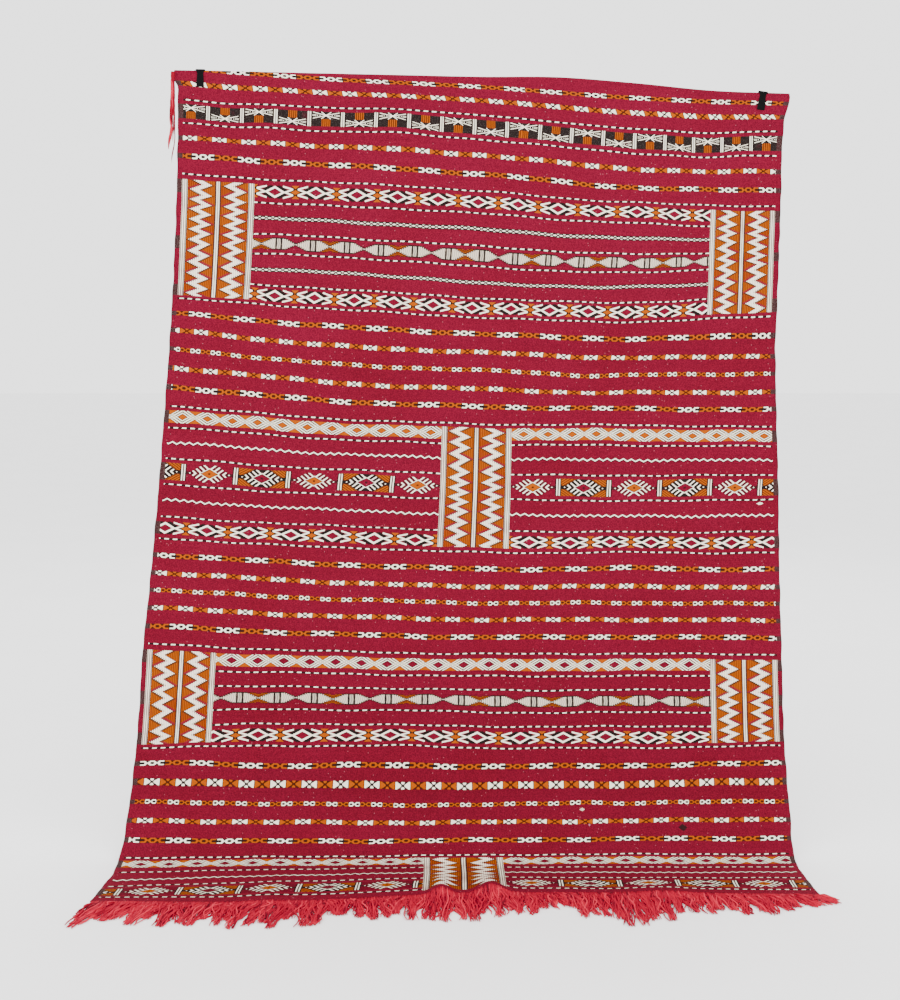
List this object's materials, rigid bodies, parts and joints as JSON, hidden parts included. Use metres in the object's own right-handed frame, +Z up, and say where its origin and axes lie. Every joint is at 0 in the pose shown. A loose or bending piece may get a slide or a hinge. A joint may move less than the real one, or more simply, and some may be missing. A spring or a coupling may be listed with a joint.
{
  "type": "flatwoven wool rug with hanging clips",
  "caption": "Flatwoven wool rug hung from clips at its turned-over upper edge, its lower end and knotless fringe lying on the floor.",
  "frame": {"origin": "middle of the fold line of the upper edge, where the clips hold the rug", "axes": "+Z up along the hanging cloth, +X to the right across it, its face looks towards -Y and its lower end runs out that way on the floor"},
  "size_m": [1.6631, 0.7038, 1.8816],
  "materials": {
    "woven_wool": "matt crimson flatweave with white, orange and dark brown bands",
    "fringe_wool": "soft matt bright red yarn",
    "tail_wool": "soft matt red yarn",
    "clip_metal": "semi-gloss black"
  },
  "bodies": {
    "root": {"rug_cloth": "woven_wool", "fringe": "fringe_wool", "corner_tail": "tail_wool", "clip_left": "clip_metal", "clip_right": "clip_metal"}
  },
  "joints": []
}
